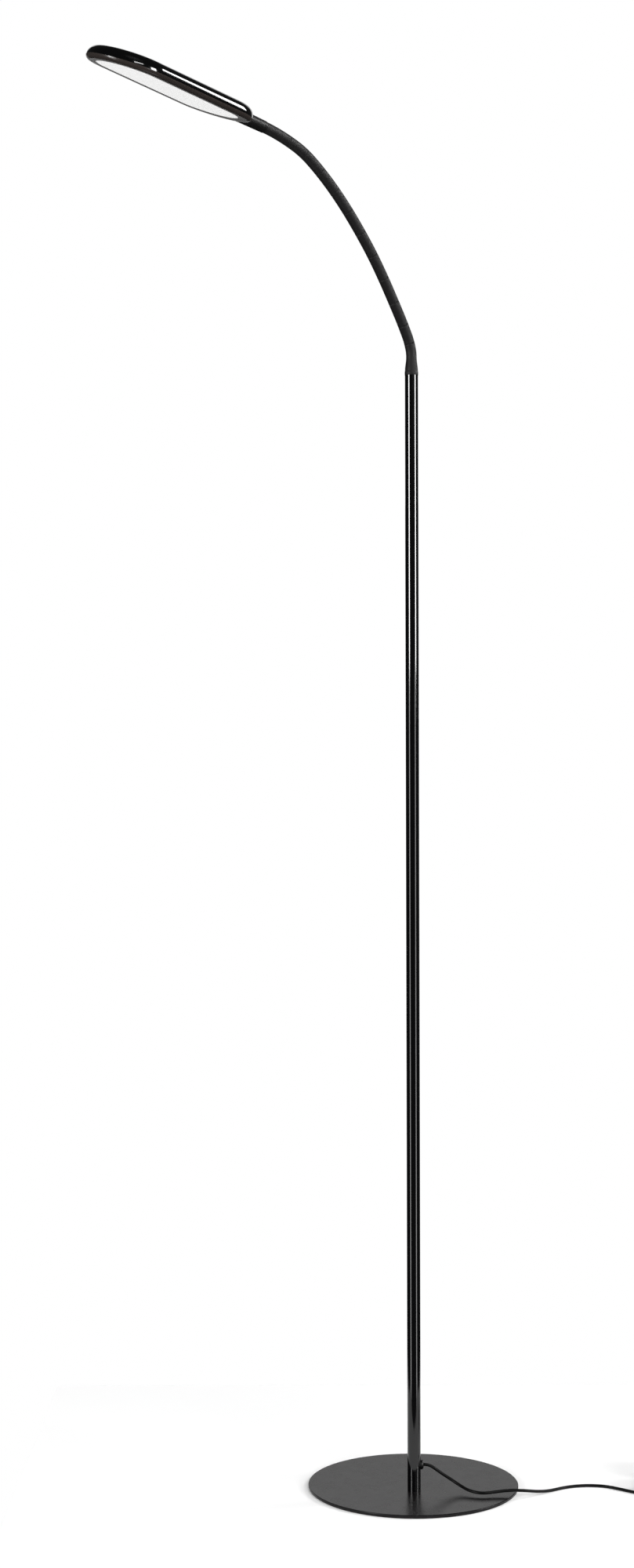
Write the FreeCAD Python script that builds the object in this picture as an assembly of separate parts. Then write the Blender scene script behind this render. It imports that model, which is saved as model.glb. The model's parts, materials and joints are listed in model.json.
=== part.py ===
"""Gooseneck reading floor lamp, in millimetres.

The origin is the centre of the round base where it rests on the floor. +Z is up,
-Y is towards the viewer and +X is to the viewer's right. The gooseneck leaves the
pole in one upright plane, the neck plane, and the head looks along that plane.
"""
import FreeCAD, Part
import math
import os

Vector = FreeCAD.Vector

# ---- base ----
base_diameter = 254.0            # a 10 inch steel disc
plate_thickness = 3.6
plate_edge_round = 0.8
pad_thickness = 0.9
pad_margin = 2.0                 # the foam pad stops short of the plate's rim
pole_offset = 28.0               # the pole stands forward of the disc's centre
foot_screw_diameter = 6.0
foot_screw_head_diameter = 12.0
foot_screw_reach = 16.0          # thread above the plate
pad_hole_clearance = 3.0
hex_key_across = 4.0
hex_key_depth = 1.8

# ---- pole ----
pole_diameter = 15.9             # a 5/8 inch tube
pole_wall = 1.0
pole_length = 1340.0
pole_names = ["pole_lower", "pole_middle", "pole_upper"]
insert_clearance = 0.05          # between a pressed insert and its tube
foot_insert_length = 20.0
thread_clearance = 0.05
stud_body_length = 20.0
stud_diameter = 10.0
stud_reach = 10.0
nut_body_length = 22.0
lead_bore = 5.5
neck_plug_length = 22.0

# ---- cable outlet at the foot of the pole ----
outlet_height = 35.3
grommet_flange_diameter = 11.6
grommet_flange_reach = 3.3       # how far it stands out from the tube
grommet_neck_diameter = 8.0
grommet_lip_diameter = 9.4
grommet_lip_depth = 1.2
grommet_clearance = 0.1
grommet_flange_round = 2.3
lead_straight = 0.2              # of the lead inside the grommet, before it turns upwards

# ---- gooseneck ----
neck_azimuth = 53.0              # turn of the neck plane from -X towards -Y, degrees
sleeve_diameter = 12.7
sleeve_bore = 9.8
core_diameter = 9.4
core_bore = 4.2
core_seat = 18.0                 # length of core held inside the pole
flare_length = 20.0              # the sleeve's foot widens to the pole over this length
flare_diameter = 15.6
flare_rim = 3.0                  # straight part of the flare, next to the pole
ball_radius = 7.0                # round end of each link, centred on its bending point
link_gap = 0.3                   # between a link's round end and the next link's hollow
stub_length = 8.0                # from the flare to the first bending point
link_lengths = [18.0, 30.0] + [33.0] * 8 + [32.0, 27.0]
neck_elevations = [73.8, 56.0, 51.6, 50.6, 47.7, 43.3, 40.7, 36.8, 32.3, 27.4, 15.3, 10.5, 5.9]

# ---- head ----
head_length = 228.0
head_width = 95.0
head_top = 18.8                  # crown of the shell above the diffuser's face
seam_height = 4.2
rim_drop = 0.45                  # the rim stands this far below the diffuser's face
shoulder_radius = 11.2
shell_wall = 1.8
head_roll = 17.2                 # the side towards the viewer hangs lower, degrees
neck_axis_height = 7.3           # gooseneck's axis above the diffuser's face
bezel_tip = 12.15                # width of the rim round the window, at the tip
bezel_neck = 17.35
bezel_side = 10.75
diffuser_thickness = 2.3
diffuser_ledge = 2.2
ledge_height = 0.3
part_clearance = 0.1
rim_groove_width = 4.4
rim_groove_floor = 1.6
rim_groove_wall = 1.8
reflector_wall = 2.2
board_height = 6.0
board_thickness = 1.6
board_margin = 2.0
led_rows = 3
led_columns = 12
led_size = 3.0
led_height = 0.7
led_margin_end = 22.25           # from the window's end to the first LED's middle
led_margin_side = 19.75
screw_margin_end = 37.25         # from the window's end to the screw's middle
screw_margin_side = 9.75
head_boss_diameter = 6.4
head_screw_diameter = 2.6
head_screw_length = 7.0
head_screw_head_diameter = 5.0
head_screw_head_height = 1.4
head_screw_slot = 0.8
touch_length = 24.0
touch_width = 16.0
touch_board_thickness = 1.2
touch_place = 56.0               # from the head's neck end to the board's middle
touch_leg = 2.0
touch_leg_height = 5.0
touch_chip = 6.0
touch_chip_height = 1.2

# ---- joint between gooseneck and head ----
boot_length = 44.0
boot_neck_diameter = 13.7
boot_head_diameter = 14.6
boot_bore_clearance = 0.1
sleeve_in_boot = 38.0
socket_length = 11.5
socket_gap = 1.2                 # between the shell's wall and the socket
socket_width = 18.0
socket_top = 13.0
socket_clearance = 0.2
head_lead_diameter = 2.4
head_lead_clearance = 0.1
head_lead_rise = 1.2             # hump of the lead where it comes over the board's end
head_lead_runs = [4.0, 4.5, 4.5, 4.0]
lead_notch_length = 10.0
lead_notch_width = 4.0

# ---- cord ----
cord_diameter = 3.7
cord_points = [                  # after the outlet; the last straight leads into the coil
    (15.5, -28.0, 35.3),
    (21.5, -27.9, 33.0),
    (31.0, -27.2, 25.8),
    (43.0, -27.6, 18.0),
    (54.0, -34.5, 12.4),
    (65.0, -48.0, 9.4),
    (80.0, -55.5, 8.4),
    (97.0, -50.5, 9.0),
    (113.0, -48.5, 10.2),
    (131.0, -50.0, 10.2),
    (147.0, -38.0, 5.4),
    (163.0, -24.0, 1.9),
    (184.0, -8.5, 1.9),
    (208.0, -1.5, 1.9),
    (232.0, -5.0, 1.9),
    (250.0, -18.5, 1.9),
    (267.0, -33.0, 1.9),
    (283.0, -41.4, 1.9),
    (298.3, -41.4, 1.9),
]

# ---- coil of the spare cord ----
coil_turns = 11.25
coil_layers = 4
coil_pitch = 4.2                 # from one turn to the next, sideways and upwards
coil_mean_radius = 20.5
coil_steps_per_layer = 12        # each step is a little under a quarter turn
coil_climb = 0.5                 # turns over which the cord climbs to the next layer

# ---- adapter on the cord's far end ----
relief_length = 26.0
relief_start_diameter = 5.2
relief_end_diameter = 9.0
adapter_length = 50.0
adapter_width = 34.0
adapter_wall = 1.8
adapter_corner = 4.0
adapter_seam = 0.72              # share of the length that belongs to the cover
adapter_board_thickness = 1.6
blade_length = 16.0
blade_width = 6.3
blade_thickness = 1.5
blade_spacing = 12.7
blade_root = 4.0
adapter_board_room = 4.0         # between the board and the roots of the blades
transformer_width = 15.0
transformer_length = 15.0
transformer_start = 5.0
transformer_height = 14.5
capacitor_diameter = 8.0
capacitor_height = 13.0
capacitor_place = 29.0

# ---- worked out from the sizes above ----
pole_radius = pole_diameter / 2
pole_bore = pole_radius - pole_wall
plate_top = pad_thickness + plate_thickness
pole_top = plate_top + pole_length
pole_sections = len(pole_names)
section_length = pole_length / pole_sections
pole_foot_point = Vector(0, -pole_offset, plate_top)
outlet_point = Vector(0, -pole_offset, outlet_height)
Z_AXIS = Vector(0, 0, 1)
X_AXIS = Vector(1, 0, 0)
azimuth = math.radians(neck_azimuth)
neck_forward = Vector(-math.cos(azimuth), -math.sin(azimuth), 0)
neck_plane_normal = Vector(math.sin(azimuth), -math.cos(azimuth), 0)
rim_round = seam_height + rim_drop
window_length = head_length - bezel_tip - bezel_neck
window_width = head_width - 2 * bezel_side
window_shift = (bezel_neck - bezel_tip) / 2
board_top = board_height + board_thickness
core_end = -head_length / 2 + shell_wall + socket_gap + socket_length
cord_radius = cord_diameter / 2
turns_per_layer = coil_turns / coil_layers


def cylinder(radius, height, base, direction=Z_AXIS):
    return Part.makeCylinder(radius, height, base, direction)


def along(point, direction, distance):
    return point + direction * distance


def group(shapes):
    return Part.makeCompound(shapes)


# ================= base =================

def make_base_plate():
    plate = cylinder(base_diameter / 2, plate_thickness, Vector(0, 0, pad_thickness))
    plate = plate.makeFillet(plate_edge_round, rim_edges(plate))
    return plate.cut(foot_screw_shape(thread_clearance))


def rim_edges(disc):
    return [edge for edge in disc.Edges if isinstance(edge.Curve, Part.Circle)]


def make_base_pad():
    pad = cylinder(base_diameter / 2 - pad_margin, pad_thickness, Vector(0, 0, 0))
    hole_radius = foot_screw_head_diameter / 2 + pad_hole_clearance
    return pad.cut(cylinder(hole_radius, pad_thickness, Vector(0, -pole_offset, 0)))


def foot_screw_shape(clearance):
    """Countersunk screw, or with a clearance the hole for it."""
    head_radius = foot_screw_head_diameter / 2 + clearance
    shank_radius = foot_screw_diameter / 2 + clearance
    head_bottom = Vector(0, -pole_offset, pad_thickness)
    head = Part.makeCone(head_radius, shank_radius, head_radius - shank_radius, head_bottom)
    shank = cylinder(shank_radius, plate_thickness + foot_screw_reach + clearance, head_bottom)
    return head.fuse(shank).removeSplitter()


def make_foot_screw():
    key_circle = hex_key_across / math.sqrt(3)
    corners = [
        Vector(key_circle * math.cos(math.radians(60 * i)),
               key_circle * math.sin(math.radians(60 * i)) - pole_offset, pad_thickness)
        for i in range(7)
    ]
    key = Part.Face(Part.makePolygon(corners)).extrude(Vector(0, 0, hex_key_depth))
    return foot_screw_shape(0).cut(key)


# ================= pole =================

def pole_axis_point(height):
    return Vector(0, -pole_offset, height)


def tube(outer_radius, inner_radius, bottom, top):
    outer = cylinder(outer_radius, top - bottom, pole_axis_point(bottom))
    return outer.cut(cylinder(inner_radius, top - bottom, pole_axis_point(bottom)))


def make_pole_section(index):
    bottom = plate_top + index * section_length
    section = tube(pole_radius, pole_bore, bottom, bottom + section_length)
    if index == 0:
        hole_radius = grommet_neck_diameter / 2 + grommet_clearance
        section = section.cut(cylinder(hole_radius, pole_diameter, outlet_point, X_AXIS))
    return section


def make_pole_foot():
    insert = cylinder(pole_bore - insert_clearance, foot_insert_length, pole_foot_point)
    return insert.cut(foot_screw_shape(thread_clearance))


def make_coupler_stud(index):
    joint = plate_top + index * section_length
    bottom = pole_axis_point(joint - stud_body_length)
    body = cylinder(pole_bore - insert_clearance, stud_body_length, bottom)
    stud = cylinder(stud_diameter / 2, stud_body_length + stud_reach, bottom)
    bore = cylinder(lead_bore / 2, stud_body_length + stud_reach, bottom)
    return body.fuse(stud).removeSplitter().cut(bore)


def make_coupler_nut(index):
    joint = plate_top + index * section_length
    body = cylinder(pole_bore - insert_clearance, nut_body_length, pole_axis_point(joint))
    socket = cylinder(stud_diameter / 2 + thread_clearance, stud_reach + 1, pole_axis_point(joint))
    bore = cylinder(lead_bore / 2, nut_body_length, pole_axis_point(joint))
    return body.cut(socket).cut(bore)


def make_neck_plug():
    bottom = pole_top - neck_plug_length
    body = cylinder(pole_bore - insert_clearance, neck_plug_length, pole_axis_point(bottom))
    seat = cylinder(core_diameter / 2 + insert_clearance, core_seat, pole_axis_point(pole_top - core_seat))
    bore = cylinder(lead_bore / 2, neck_plug_length, pole_axis_point(bottom))
    return body.cut(seat).cut(bore)


# ================= cable outlet and the lead inside the pole =================

def bar_past_outlet(radius):
    """Bar on the pole's axis that reaches past the outlet on both sides."""
    start = pole_axis_point(outlet_height - grommet_flange_diameter)
    return cylinder(radius, 2 * grommet_flange_diameter, start)


def make_cable_grommet():
    flange_radius = grommet_flange_diameter / 2
    lip_start = pole_bore - grommet_lip_depth
    flange_length = grommet_flange_reach + pole_radius / 2
    flange_start = along(outlet_point, X_AXIS, pole_radius / 2)
    flange = cylinder(flange_radius, flange_length, flange_start, X_AXIS)
    face_edges = [edge for edge in rim_edges(flange)
                  if edge.CenterOfMass.x > pole_radius]
    flange = flange.makeFillet(grommet_flange_round, face_edges).cut(bar_past_outlet(pole_radius))
    neck = cylinder(grommet_neck_diameter / 2, pole_radius + grommet_flange_reach / 2 - lip_start,
                    along(outlet_point, X_AXIS, lip_start), X_AXIS)
    lip = cylinder(grommet_lip_diameter / 2, 2 * grommet_lip_depth,
                   along(outlet_point, X_AXIS, lip_start), X_AXIS)
    lip = lip.common(bar_past_outlet(pole_bore - insert_clearance))
    body = flange.fuse([neck, lip])
    bore = cylinder(cord_radius + insert_clearance, pole_diameter, outlet_point, X_AXIS)
    return body.cut(bore).removeSplitter()


def path_with_arcs(points, report=None):
    """Straight runs joined by the largest even arcs, as edges of one wire."""
    vectors = [Vector(*point) for point in points]
    edges = []
    start = vectors[0]
    for before, corner, after in zip(vectors, vectors[1:], vectors[2:]):
        inward = (before - corner)
        outward = (after - corner)
        short_run = min(inward.Length, outward.Length)
        turn = math.pi - inward.getAngle(outward)
        radius = 0.45 * short_run / math.tan(turn / 2)
        if report is not None:
            report.append(radius)
        inward.normalize()
        outward.normalize()
        reach = 0.45 * short_run
        arc_start = along(corner, inward, reach)
        arc_end = along(corner, outward, reach)
        middle = (inward + outward).normalize()
        halfway = along(corner, middle, radius / math.cos(turn / 2) - radius)
        edges.append(Part.LineSegment(start, arc_start).toShape())
        edges.append(Part.Arc(arc_start, halfway, arc_end).toShape())
        start = arc_end
    edges.append(Part.LineSegment(start, vectors[-1]).toShape())
    return Part.Wire(edges)


def round_tube(wire, radius, start, direction):
    profile = Part.Wire(Part.makeCircle(radius, start, direction))
    return wire.makePipeShell([profile], True, False)


def make_pole_lead():
    """The cord's inner end: in at the grommet, then up the middle of the pole."""
    start_x = pole_bore - grommet_lip_depth
    bend = start_x - lead_straight
    start = along(outlet_point, X_AXIS, start_x)
    arc_start = along(outlet_point, X_AXIS, bend)
    arc_end = pole_axis_point(outlet_height + bend)
    corner_share = 1 - math.sqrt(0.5)
    halfway = Vector(bend * corner_share, -pole_offset, outlet_height + bend * corner_share)
    top = pole_axis_point(pole_top - core_seat / 2)
    wire = Part.Wire([
        Part.LineSegment(start, arc_start).toShape(),
        Part.Arc(arc_start, halfway, arc_end).toShape(),
        Part.LineSegment(arc_end, top).toShape(),
    ])
    return round_tube(wire, cord_radius, start, Vector(-1, 0, 0))


# ================= gooseneck =================

class NeckPoint:
    """A place on the gooseneck's line: where it is and which way the neck runs there."""

    def __init__(self, point, elevation):
        self.point = point
        self.elevation = elevation
        angle = math.radians(elevation)
        self.tangent = neck_forward * math.cos(angle) + Z_AXIS * math.sin(angle)
        self.normal = Z_AXIS * math.cos(angle) - neck_forward * math.sin(angle)

    def step(self, length, next_elevation):
        """The place one round arc further on."""
        half_turn = math.radians(self.elevation - next_elevation) / 2
        chord = length if abs(half_turn) < 1e-9 else length * math.sin(half_turn) / half_turn
        middle = math.radians(self.elevation + next_elevation) / 2
        move = neck_forward * math.cos(middle) + Z_AXIS * math.sin(middle)
        return NeckPoint(along(self.point, move, chord), next_elevation)


def neck_places():
    """The end of the flare, every bending point, and the end where the boot begins."""
    places = [NeckPoint(pole_axis_point(pole_top + flare_length), 90.0)]
    for length, elevation in zip([stub_length] + link_lengths, neck_elevations):
        places.append(places[-1].step(length, elevation))
    return places


def arc_rod(radius, start, end, length):
    """Round rod that follows the arc between two places of the neck."""
    turn = start.elevation - end.elevation
    disc = Part.Face(Part.Wire(Part.makeCircle(radius, start.point, start.tangent)))
    bend_radius = length / math.radians(turn)
    centre = along(start.point, start.normal, -bend_radius)
    return disc.revolve(centre, neck_plane_normal, turn)


def round_end(outer_radius, inner_radius, place):
    """Ring with a ball-shaped end, centred on a bending point."""
    ring = cylinder(outer_radius, ball_radius, place.point, place.tangent)
    ring = ring.cut(cylinder(inner_radius, ball_radius, place.point, place.tangent))
    return ring.common(Part.makeSphere(ball_radius, place.point))


def hollow_end(place):
    return Part.makeSphere(ball_radius + link_gap, place.point)


def bent_tube(outer_radius, inner_radius, start, end, length):
    outer = arc_rod(outer_radius, start, end, length)
    return outer.cut(arc_rod(inner_radius, start, end, length))


def neck_link(outer_radius, inner_radius, start, end, length):
    """A middle link: hollow at its foot and round at its top."""
    link = bent_tube(outer_radius, inner_radius, start, end, length)
    link = link.cut(hollow_end(start))
    return link.fuse(round_end(outer_radius, inner_radius, end)).removeSplitter()


def make_first_sleeve(places):
    flare_points = [
        (sleeve_bore / 2, 0),
        (flare_diameter / 2, 0),
        (flare_diameter / 2, flare_rim),
        (sleeve_diameter / 2, flare_length),
        (sleeve_bore / 2, flare_length),
    ]
    corners = [Vector(r, -pole_offset, pole_top + z) for r, z in flare_points]
    profile = Part.Face(Part.makePolygon(corners + corners[:1]))
    flare = profile.revolve(pole_axis_point(0), Z_AXIS, 360)
    stub = bent_tube(sleeve_diameter / 2, sleeve_bore / 2, places[0], places[1], stub_length)
    end = round_end(sleeve_diameter / 2, sleeve_bore / 2, places[1])
    return flare.fuse([stub, end]).removeSplitter()


def make_first_core(places):
    foot = tube(core_diameter / 2, core_bore / 2, pole_top - core_seat, pole_top + flare_length)
    stub = bent_tube(core_diameter / 2, core_bore / 2, places[0], places[1], stub_length)
    end = round_end(core_diameter / 2, core_bore / 2, places[1])
    return foot.fuse([stub, end]).removeSplitter()


def make_last_piece(places, outer_radius, inner_radius, tail):
    """The last link, which runs on straight into the boot and the head."""
    start = places[-2]
    end = places[-1]
    link = bent_tube(outer_radius, inner_radius, start, end, link_lengths[-1])
    link = link.cut(hollow_end(start))
    straight = cylinder(outer_radius, tail, end.point, end.tangent)
    straight = straight.cut(cylinder(inner_radius, tail, end.point, end.tangent))
    return link.fuse(straight).removeSplitter()


# ================= head =================

def head_placement(places):
    """Head frame: x to the tip, y to the viewer's side, z up; origin on the diffuser's face."""
    end = places[-1]
    tip = end.tangent
    roll = math.radians(head_roll)
    side = neck_plane_normal * math.cos(roll) - end.normal * math.sin(roll)
    up = end.normal * math.cos(roll) + neck_plane_normal * math.sin(roll)
    origin = along(end.point, tip, head_length / 2 + boot_length)
    origin = along(origin, up, -neck_axis_height)
    return FreeCAD.Placement(FreeCAD.Matrix(
        tip.x, side.x, up.x, origin.x,
        tip.y, side.y, up.y, origin.y,
        tip.z, side.z, up.z, origin.z,
        0, 0, 0, 1))


def placed(shape, placement):
    moved = shape.copy()
    moved.Placement = placement
    return moved


def stadium(length, width, bottom, top, shift=0.0):
    """Upright block with half-round ends."""
    radius = width / 2
    reach = length / 2 - radius
    middle = Part.makeBox(2 * reach, width, top - bottom, Vector(shift - reach, -radius, bottom))
    ends = [cylinder(radius, top - bottom, Vector(shift + side * reach, 0, bottom)) for side in (-1, 1)]
    return middle.fuse(ends).removeSplitter()


def stadium_solid(profile_edges, reach):
    """Sweeps half a cross-section round a stadium: two half turns and the straight between."""
    face = Part.Face(Part.Wire(profile_edges))
    turned = face.revolve(Vector(0, 0, 0), Z_AXIS, 180)
    turned.rotate(Vector(0, 0, 0), Z_AXIS, -90)
    tip_end = turned.copy()
    tip_end.translate(Vector(reach, 0, 0))
    neck_end = turned.copy()
    neck_end.rotate(Vector(0, 0, 0), Z_AXIS, 180)
    neck_end.translate(Vector(-reach, 0, 0))
    across = face.copy()
    across.rotate(Vector(0, 0, 0), Z_AXIS, 90)
    across.translate(Vector(-reach, 0, 0))
    near = across.extrude(Vector(2 * reach, 0, 0))
    far = near.mirror(Vector(0, 0, 0), Vector(0, 1, 0))
    return tip_end.fuse([neck_end, near, far]).removeSplitter()


def dome(inset):
    """Solid under the shell's outer face, drawn in by the inset."""
    half_width = head_width / 2
    rise = head_top - seam_height
    arm = half_width - shoulder_radius
    crown_radius = (arm ** 2 + rise ** 2 - shoulder_radius ** 2) / (2 * (rise - shoulder_radius))
    crown_centre = head_top - crown_radius
    lean = math.atan2(arm, seam_height - crown_centre)
    shoulder = shoulder_radius - inset
    crown = crown_radius - inset

    def on_shoulder(angle):
        return Vector(arm + shoulder * math.cos(angle), 0, seam_height + shoulder * math.sin(angle))

    def on_crown(angle):
        return Vector(crown * math.sin(angle), 0, crown_centre + crown * math.cos(angle))

    meet = math.pi / 2 - lean
    foot = Vector(half_width - inset, 0, seam_height)
    top = on_crown(0)
    middle = Vector(0, 0, seam_height)
    edges = [
        Part.LineSegment(middle, foot).toShape(),
        Part.Arc(foot, on_shoulder(meet / 2), on_shoulder(meet)).toShape(),
        Part.Arc(on_shoulder(meet), on_crown(lean / 2), top).toShape(),
        Part.LineSegment(top, middle).toShape(),
    ]
    return stadium_solid(edges, head_length / 2 - half_width)


def head_screw_places():
    reach = window_length / 2 - screw_margin_end
    spread = window_width / 2 - screw_margin_side
    return [(window_shift + end * reach, side * spread) for end in (-1, 1) for side in (-1, 1)]


def neck_passage(radius):
    start = Vector(-head_length / 2 - boot_length, 0, neck_axis_height)
    reach = core_end + head_lead_runs[0] - start.x
    return cylinder(radius, reach, start, X_AXIS)


def make_head_shell():
    shell = dome(0).cut(dome(shell_wall))
    ceiling = dome(0)
    pilot_radius = head_screw_diameter / 2 + part_clearance
    for x, y in head_screw_places():
        boss = cylinder(head_boss_diameter / 2, head_top, Vector(x, y, board_top)).common(ceiling)
        pilot = cylinder(pilot_radius, head_screw_length, Vector(x, y, board_top))
        shell = shell.fuse(boss).cut(pilot)
    shell = shell.cut(neck_passage(core_diameter / 2 + socket_clearance))
    return shell.removeSplitter()


def make_head_bezel():
    half_width = head_width / 2
    centre = half_width - rim_round
    diagonal = rim_round * math.sqrt(0.5)
    edges = [
        Part.LineSegment(Vector(0, 0, -rim_drop), Vector(centre, 0, -rim_drop)).toShape(),
        Part.Arc(Vector(centre, 0, -rim_drop),
                 Vector(centre + diagonal, 0, seam_height - diagonal),
                 Vector(half_width, 0, seam_height)).toShape(),
        Part.LineSegment(Vector(half_width, 0, seam_height), Vector(0, 0, seam_height)).toShape(),
        Part.LineSegment(Vector(0, 0, seam_height), Vector(0, 0, -rim_drop)).toShape(),
    ]
    rim = stadium_solid(edges, head_length / 2 - half_width)
    window = stadium(window_length, window_width, -rim_drop, seam_height, window_shift)
    pocket_growth = 2 * (diffuser_ledge + part_clearance)
    pocket = stadium(window_length + pocket_growth, window_width + pocket_growth,
                     ledge_height, seam_height, window_shift)
    groove_outer = 2 * rim_groove_wall
    groove_inner = 2 * (rim_groove_wall + rim_groove_width)
    groove = stadium(head_length - groove_outer, head_width - groove_outer, rim_groove_floor, seam_height)
    groove = groove.cut(stadium(head_length - groove_inner, head_width - groove_inner,
                                rim_groove_floor, seam_height))
    rim = rim.cut(window).cut(pocket).cut(groove)
    return rim.cut(neck_passage(core_diameter / 2 + socket_clearance)).removeSplitter()


def make_diffuser():
    face = stadium(window_length - 2 * part_clearance, window_width - 2 * part_clearance,
                   0, diffuser_thickness, window_shift)
    ledge_growth = 2 * diffuser_ledge
    flange = stadium(window_length + ledge_growth, window_width + ledge_growth,
                     ledge_height, diffuser_thickness, window_shift)
    return face.fuse(flange).removeSplitter()


def make_reflector():
    """White frame that stands on the diffuser's edge and carries the light board."""
    growth = 2 * diffuser_ledge
    outer = stadium(window_length + growth, window_width + growth,
                    diffuser_thickness, board_height, window_shift)
    opening = 2 * (diffuser_ledge - reflector_wall)
    inner = stadium(window_length + opening, window_width + opening,
                    diffuser_thickness, board_height, window_shift)
    frame = outer.cut(inner)
    return frame.cut(neck_passage(core_diameter / 2 + socket_clearance)).removeSplitter()


def make_light_board():
    growth = 2 * (diffuser_ledge - board_margin)
    board = stadium(window_length + growth, window_width + growth, board_height, board_top, window_shift)
    hole_radius = head_screw_diameter / 2 + part_clearance
    for x, y in head_screw_places():
        board = board.cut(cylinder(hole_radius, board_thickness, Vector(x, y, board_height)))
    notch = Part.makeBox(lead_notch_length, lead_notch_width, board_thickness,
                         Vector(board.BoundBox.XMin, -lead_notch_width / 2, board_height))
    return board.cut(notch)


def make_leds():
    leds = []
    pitch_x = (window_length - 2 * led_margin_end) / (led_columns - 1)
    pitch_y = (window_width - 2 * led_margin_side) / (led_rows - 1)
    for row in range(led_rows):
        for column in range(led_columns):
            x = window_shift + (column - (led_columns - 1) / 2) * pitch_x
            y = (row - (led_rows - 1) / 2) * pitch_y
            leds.append(Part.makeBox(led_size, led_size, led_height,
                                     Vector(x - led_size / 2, y - led_size / 2, board_height - led_height)))
    return group(leds)


def make_head_screws():
    screws = []
    for x, y in head_screw_places():
        head = cylinder(head_screw_head_diameter / 2, head_screw_head_height,
                        Vector(x, y, board_height - head_screw_head_height))
        shank_length = board_thickness + head_screw_length - part_clearance
        shank = cylinder(head_screw_diameter / 2, shank_length, Vector(x, y, board_height))
        slot = Part.makeBox(head_screw_head_diameter, head_screw_slot, head_screw_head_height / 2,
                            Vector(x - head_screw_head_diameter / 2, y - head_screw_slot / 2,
                                   board_height - head_screw_head_height))
        screws.append(head.fuse(shank).removeSplitter().cut(slot))
    return group(screws)


def make_touch_board():
    """Touch switch behind the shell, on two legs that stand on the light board."""
    middle = touch_place - head_length / 2
    bottom = board_top + touch_leg_height
    corner = Vector(middle - touch_length / 2, -touch_width / 2, bottom)
    board = Part.makeBox(touch_length, touch_width, touch_board_thickness, corner)
    legs = [Part.makeBox(touch_leg, touch_leg, touch_leg_height,
                         Vector(middle + side * touch_length / 3 - touch_leg / 2,
                                -touch_leg / 2, board_top)) for side in (-1, 1)]
    chip = Part.makeBox(touch_chip, touch_chip, touch_chip_height,
                        Vector(middle - touch_chip / 2, -touch_chip / 2,
                               bottom + touch_board_thickness))
    return board.fuse(legs + [chip]).removeSplitter()


def make_neck_boot():
    start = Vector(-head_length / 2 - boot_length, 0, neck_axis_height)
    reach = boot_length + head_width / 4
    growth = (boot_head_diameter - boot_neck_diameter) / 2 * reach / boot_length
    neck_radius = boot_neck_diameter / 2
    body = Part.makeCone(neck_radius, neck_radius + growth, reach, start, X_AXIS)
    bore = cylinder(sleeve_diameter / 2 + boot_bore_clearance,
                    sleeve_in_boot + boot_bore_clearance, start, X_AXIS)
    core_hole = cylinder(core_diameter / 2 + boot_bore_clearance, reach, start, X_AXIS)
    body = body.cut(bore).cut(core_hole)
    body = body.cut(dome(0).fuse(rim_envelope()))
    return max(body.Solids, key=lambda solid: solid.Volume)


def rim_envelope():
    return stadium(head_length, head_width, -rim_drop, seam_height)


def make_neck_socket():
    """Steel block inside the head that grips the end of the gooseneck."""
    start_x = core_end - socket_length
    block = Part.makeBox(socket_length, socket_width, socket_top - seam_height,
                         Vector(start_x, -socket_width / 2, seam_height))
    room = dome(shell_wall + part_clearance)
    bore = cylinder(core_diameter / 2 + insert_clearance, socket_length,
                    Vector(start_x, 0, neck_axis_height), X_AXIS)
    return block.common(room).cut(bore)


def make_head_lead():
    """From the gooseneck's core, up over the end of the light board, and down onto it."""
    resting = board_top + head_lead_diameter / 2 + head_lead_clearance
    slack = (resting - neck_axis_height) / 4
    heights = [neck_axis_height, neck_axis_height + slack, resting + head_lead_rise / 4,
               resting + head_lead_rise / 2, resting]
    places = [core_end + sum(head_lead_runs[:count]) for count in range(len(heights))]
    points = [(x, 0, z) for x, z in zip(places, heights)]
    first = Vector(*points[0])
    second = Vector(*points[1])
    return round_tube(path_with_arcs(points), head_lead_diameter / 2, first, second - first)


# ================= cord, coil and adapter =================

def cord_route():
    exit_point = along(outlet_point, X_AXIS, pole_radius + grommet_flange_reach)
    return [tuple(exit_point)] + cord_points


def make_cord_run():
    radii = []
    route = cord_route()
    wire = path_with_arcs(route, radii)
    print("cord arcs, mm:", [round(radius, 1) for radius in radii])
    run = round_tube(wire, cord_radius, Vector(*route[0]), X_AXIS)
    expected = wire.Length * math.pi * cord_radius ** 2
    print("cord run: length %.1f, volume share %.4f" % (wire.Length, run.Volume / expected))
    return run


def coil_outer_radius():
    return coil_mean_radius + coil_pitch * turns_per_layer / 2


def coil_centre():
    """The coil lies so that its first turn carries on straight from the end of the run."""
    run_end = Vector(*cord_points[-1])
    return run_end + Vector(cord_diameter, coil_outer_radius(), 0)


def coil_angle(turns):
    return 2 * math.pi * turns - math.pi / 2


def coil_point(turns):
    """Centre of the cord after so many turns: in and out at a steady rate, layer by layer."""
    layer = min(int(turns / turns_per_layer), coil_layers - 1)
    into_layer = turns - layer * turns_per_layer
    inward = into_layer if layer % 2 == 0 else turns_per_layer - into_layer
    radius = coil_outer_radius() - coil_pitch * inward
    height = 0.0
    for reversal in range(1, coil_layers):
        climbed = (turns - reversal * turns_per_layer) / coil_climb + 0.5
        share = min(max(climbed, 0.0), 1.0)
        height += coil_pitch * (1 - math.cos(math.pi * share)) / 2
    angle = coil_angle(turns)
    return coil_centre() + Vector(radius * math.cos(angle), radius * math.sin(angle), height)


def coil_direction(turns):
    """Along the cord; square to the coil's radius at its two ends."""
    if turns in (0, coil_turns):
        angle = coil_angle(turns)
        return Vector(-math.sin(angle), math.cos(angle), 0)
    small_step = 1e-4
    return (coil_point(turns + small_step) - coil_point(turns - small_step)).normalize()


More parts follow.
